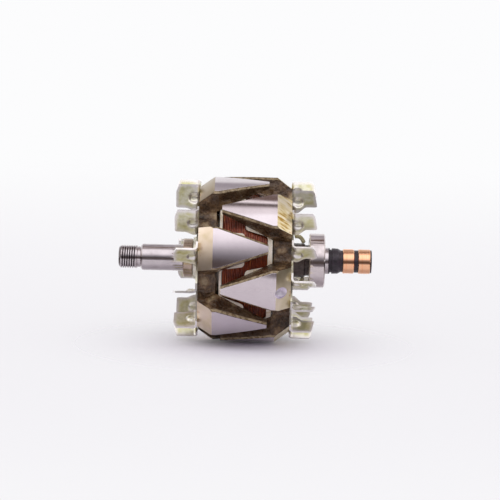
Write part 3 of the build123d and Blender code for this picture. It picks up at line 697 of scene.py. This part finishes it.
def make_floor():
    """Plain pale floor under the claws. It keeps the rotor's shadow, and what the camera sees of
    it thins out to the white of the room. The share kept falls like a bell round the claws,
    0.24 + 0.76 exp(-0.75 d squared), where d is the way from the middle of the claws over 55 mm
    along the shaft and 46 mm across it."""
    mesh = bpy.data.meshes.new("floor")
    # Its corners in metres, 0.1 mm under the claws.
    x0, x1, y0, y1, z = -1.5, 1.6, -0.80, 1.30, -ROTOR_R * MM - 0.0001
    mesh.from_pydata([(x0, y0, z), (x1, y0, z), (x1, y1, z), (x0, y1, z)], [], [(0, 1, 2, 3)])
    floor = bpy.data.objects.new("floor", mesh)
    bpy.context.scene.collection.objects.link(floor)
    paper, tree, shader, place = new_finish("studio_paper_white")
    shader["Base Color"].default_value = linear("#EBE7F4")
    shader["Roughness"].default_value = 0.7
    shader["Specular IOR Level"].default_value = 0.15

    to_middle, per_reach = (-0.040, 0.015, 0), (1 / 0.055, 1 / 0.046, 0)
    offset = add(tree, "VectorMath", {0: place, 1: to_middle}, operation="ADD")[0]
    offset = add(tree, "VectorMath", {0: offset, 1: per_reach}, operation="MULTIPLY")[0]
    away = add(tree, "VectorMath", {0: offset}, operation="LENGTH")["Value"]
    bell = add(tree, "Math", {0: away, 1: 2.0}, operation="POWER")[0]
    bell = add(tree, "Math", {0: bell, 1: -0.75}, operation="MULTIPLY")[0]
    bell = add(tree, "Math", {0: bell}, operation="EXPONENT")[0]
    kept = add(tree, "MapRange", {0: bell, 3: 0.24, 4: 1.0})[0]
    # Towards the camera and the far edge the floor fades out, so that it shows no edge.
    deep = add(tree, "SeparateXYZ", {0: place})[1]
    front = add(tree, "MapRange", {0: deep, 1: -0.78, 2: -0.15}, interpolation_type="SMOOTHSTEP")[0]
    back = add(tree, "MapRange", {0: deep, 1: 1.25, 2: -0.04}, interpolation_type="SMOOTHSTEP")[0]
    kept = add(tree, "Math", {0: kept, 1: front}, operation="MULTIPLY")[0]
    kept = add(tree, "Math", {0: kept, 1: back}, operation="MULTIPLY")[0]
    # Beyond the rotor's ends the metal sees the dark ends of the room in place of the floor.
    path = add(tree, "LightPath")
    beside = add(tree, "SeparateXYZ", {0: offset})[0]
    beside = add(tree, "Math", {0: beside}, operation="ABSOLUTE")[0]
    beside = add(tree, "MapRange", {0: beside, 1: 2.0, 2: 4.0, 3: 1.0, 4: 0.1},
                 interpolation_type="SMOOTHSTEP")[0]
    dimmed = add(tree, "Math", {0: kept, 1: beside}, operation="MULTIPLY")[0]
    kept = add(tree, "Mix", {0: path["Is Glossy Ray"], 2: kept, 3: dimmed})[0]

    seen = add(tree, "Math", {0: path["Is Camera Ray"], 1: path["Is Glossy Ray"]},
               operation="MAXIMUM")[0]
    seen = add(tree, "Math", {0: seen, 1: path["Is Transmission Ray"]}, operation="MAXIMUM")[0]
    share = add(tree, "Mix", {0: seen, 2: 1.0, 3: kept})[0]
    clear, solid = add(tree, "BsdfTransparent")[0], tree.nodes["Principled BSDF"].outputs[0]
    both = add(tree, "MixShader", {0: share, 1: clear, 2: solid})[0]
    tree.links.new(both, tree.nodes["Material Output"].inputs[0])
    mesh.materials.append(paper)


# The room's light by the angle above the near horizon, in degrees: floor in shadow, dark near the
# horizon, one broad soft light, and narrow strips overhead. The colours are written low and
# raised by ROOM_LEVEL, so that the soft light can stand above paper white.
ROOM_LEVEL = 1.5
ROOM = [
    (-180, "#AFADB0"), (-126, "#AFADB0"), (-100, "#949194"), (-82, "#A09DA0"), (-62, "#C6C4C6"),
    (-19, "#C8C6C8"), (-15.5, "#48403E"), (2, "#4A4240"), (6, "#544E4E"), (13, "#747176"),
    (20, "#9C999D"), (26, "#C3C0C5"), (33, "#E3E0E4"), (44, "#F7F5F8"), (72, "#F7F5F8"),
    (76, "#E0DBDD"), (83, "#D8D2D4"), (85.5, "#A8A0A0"), (88, "#463B38"), (91, "#463B38"),
    (93, "#ECE6E6"), (95.5, "#ECE6E6"), (98, "#64544E"), (107, "#6A5A54"), (112, "#A49EA0"),
    (118, "#AAA6A8"), (130, "#959195"), (180, "#959195"),
]
# The same along the shaft, by the height of the direction, from -0.6 at 0 to 0.6 at 1.
ROOM_ENDS = [
    (0.0, "#A8A4A4"), (0.22, "#6A6462"), (0.34, "#241E1C"), (0.465, "#241E1C"), (0.55, "#6A6460"),
    (0.63, "#9C9692"), (0.71, "#C4BFBC"), (0.85, "#E8E5E4"), (1.0, "#EAE8E8"),
]


def make_world():
    """Soft room. The backdrop behind the rotor is white, to the camera and in every reflection.
    The rest of the room changes with the angle above the near horizon, and towards the shaft's
    two ends it is dark below and light above."""
    world = bpy.data.worlds.new("studio")
    bpy.context.scene.world = world
    world.use_nodes = True
    tree = world.node_tree
    way = add(tree, "SeparateXYZ", {0: add(tree, "TexCoord")["Generated"]})
    near = add(tree, "Math", {0: way[1], 1: -1.0}, operation="MULTIPLY")[0]
    height = add(tree, "Math", {0: way[2], 1: near}, operation="ARCTAN2")[0]
    share = add(tree, "MapRange", {0: height, 1: math.radians(-180), 2: math.radians(180)})[0]
    bands = add(tree, "ValToRGB", {0: share}, [((at + 180) / 360, code) for at, code in ROOM])[0]
    ends = add(tree, "MapRange", {0: way[2], 1: -0.6, 2: 0.6})[0]
    ends = add(tree, "ValToRGB", {0: ends}, ROOM_ENDS)[0]
    aside = add(tree, "Math", {0: way[0]}, operation="ABSOLUTE")[0]
    aside = add(tree, "MapRange", {0: aside, 1: 0.62, 2: 0.86}, interpolation_type="SMOOTHSTEP")[0]
    bands = add(tree, "Mix", {0: aside, 6: bands, 7: ends}, data_type="RGBA")[2]
    bands = add(tree, "VectorMath", {0: bands, 1: (ROOM_LEVEL,) * 3}, operation="MULTIPLY")[0]

    # The backdrop is what lies within about 40 degrees of straight behind, by the same angle.
    back = add(tree, "Math", {0: height}, operation="COSINE")[0]
    back = add(tree, "Math", {0: back, 1: -1.0}, operation="MULTIPLY")[0]
    backdrop = add(tree, "MapRange", {0: back, 1: 0.74, 2: 0.82})[0]
    path = add(tree, "LightPath")
    mirrored = add(tree, "Math", {0: path["Is Glossy Ray"], 1: path["Is Transmission Ray"]},
                   operation="MAXIMUM")[0]
    mirrored = add(tree, "Math", {0: mirrored, 1: backdrop}, operation="MULTIPLY")[0]
    white = add(tree, "Math", {0: path["Is Camera Ray"], 1: mirrored}, operation="MAXIMUM")[0]
    colour = add(tree, "Mix", {0: white, 6: bands, 7: "#FCFCFD"}, data_type="RGBA")[2]
    sky = tree.nodes["Background"].inputs
    tree.links.new(colour, sky[0])
    sky[1].default_value = 1.0


def make_camera():
    """Camera at the photograph's angle: 8 degrees above, 1.3 m off, rolled by 1.3 degrees. It
    looks at a point 42.9 mm along the shaft and 5.9 mm above it, with 322.5 mm across its view
    there."""
    elevation, roll, distance, width = math.radians(8.0), math.radians(1.3), 1300.0, 322.5
    side = Vector((1, 0, 0))
    up = Vector((0, math.sin(elevation), math.cos(elevation)))
    back = side.cross(up)
    right = side * math.cos(roll) + up * math.sin(roll)
    above = up * math.cos(roll) - side * math.sin(roll)
    target = Vector((42.9, 0, 0)) + above * 5.9
    place = target + back * distance
    data = bpy.data.cameras.new("camera")
    data.sensor_width = 36.0
    data.lens = 36.0 * distance / width
    data.clip_start, data.clip_end = 0.05, 50.0
    camera = bpy.data.objects.new("camera", data)
    turn = Matrix((right, above, back)).transposed().to_4x4()
    camera.matrix_world = Matrix.Translation(place * MM) @ turn
    bpy.context.scene.collection.objects.link(camera)
    bpy.context.scene.camera = camera


make_floor()
make_world()
make_camera()
bpy.context.scene.view_settings.view_transform = "Standard"
